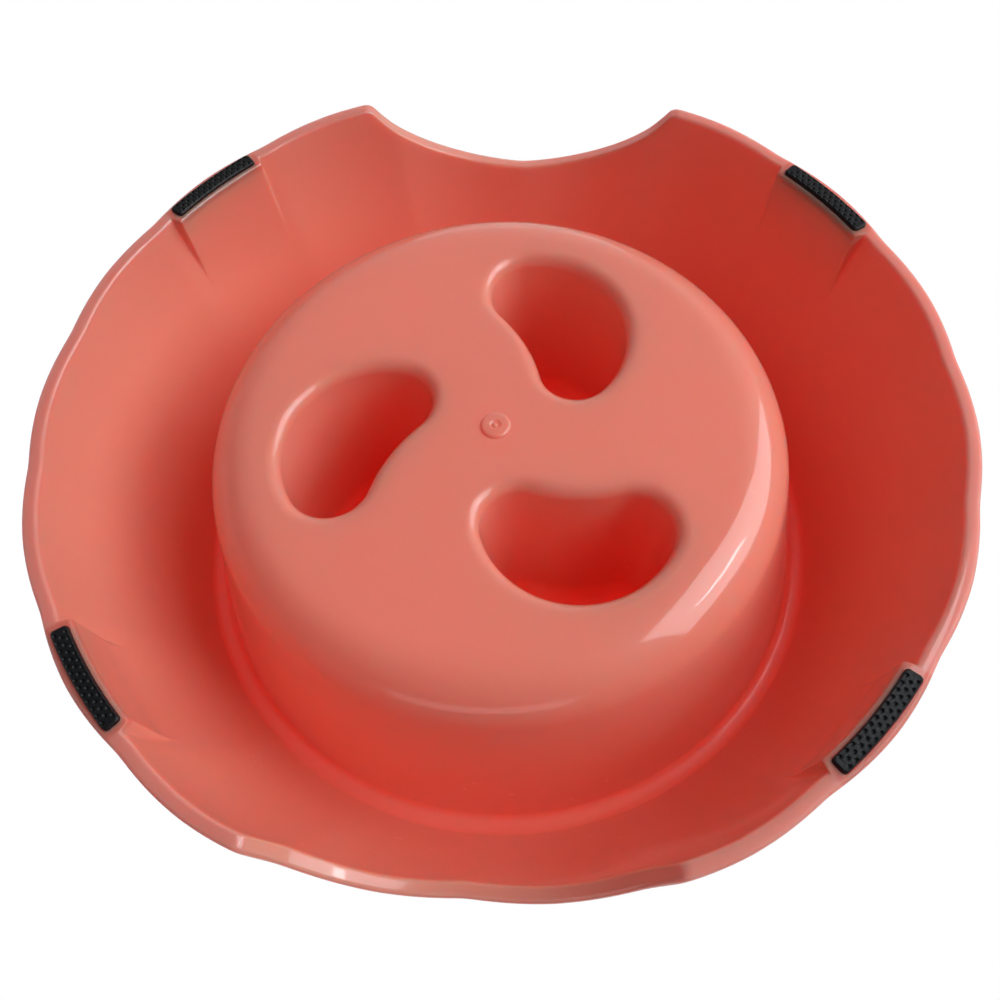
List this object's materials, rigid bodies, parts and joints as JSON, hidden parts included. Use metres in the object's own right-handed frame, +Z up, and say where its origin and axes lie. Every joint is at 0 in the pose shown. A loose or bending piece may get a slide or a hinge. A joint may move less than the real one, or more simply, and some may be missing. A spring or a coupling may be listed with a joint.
{
  "type": "slow feeder bowl",
  "caption": "Round moulded pet bowl with hollow kidney-shaped obstacles in its well, a fluted skirt with finger notches, and rubber feet",
  "frame": {"origin": "on the table, under the middle of the bowl", "axes": "+Z up along the bowl's axis, X through the middle of the skirt between two pairs of feet, Y through the two finger notches"},
  "size_m": [0.2032, 0.1934, 0.064],
  "materials": {
    "bowl_plastic": "glossy moulded polypropylene, coral",
    "foot_rubber": "matt black rubber"
  },
  "bodies": {
    "root": {"bowl": "bowl_plastic", "foot_front_left": "foot_rubber", "foot_front_right": "foot_rubber", "foot_rear_left": "foot_rubber", "foot_rear_right": "foot_rubber"}
  },
  "joints": []
}
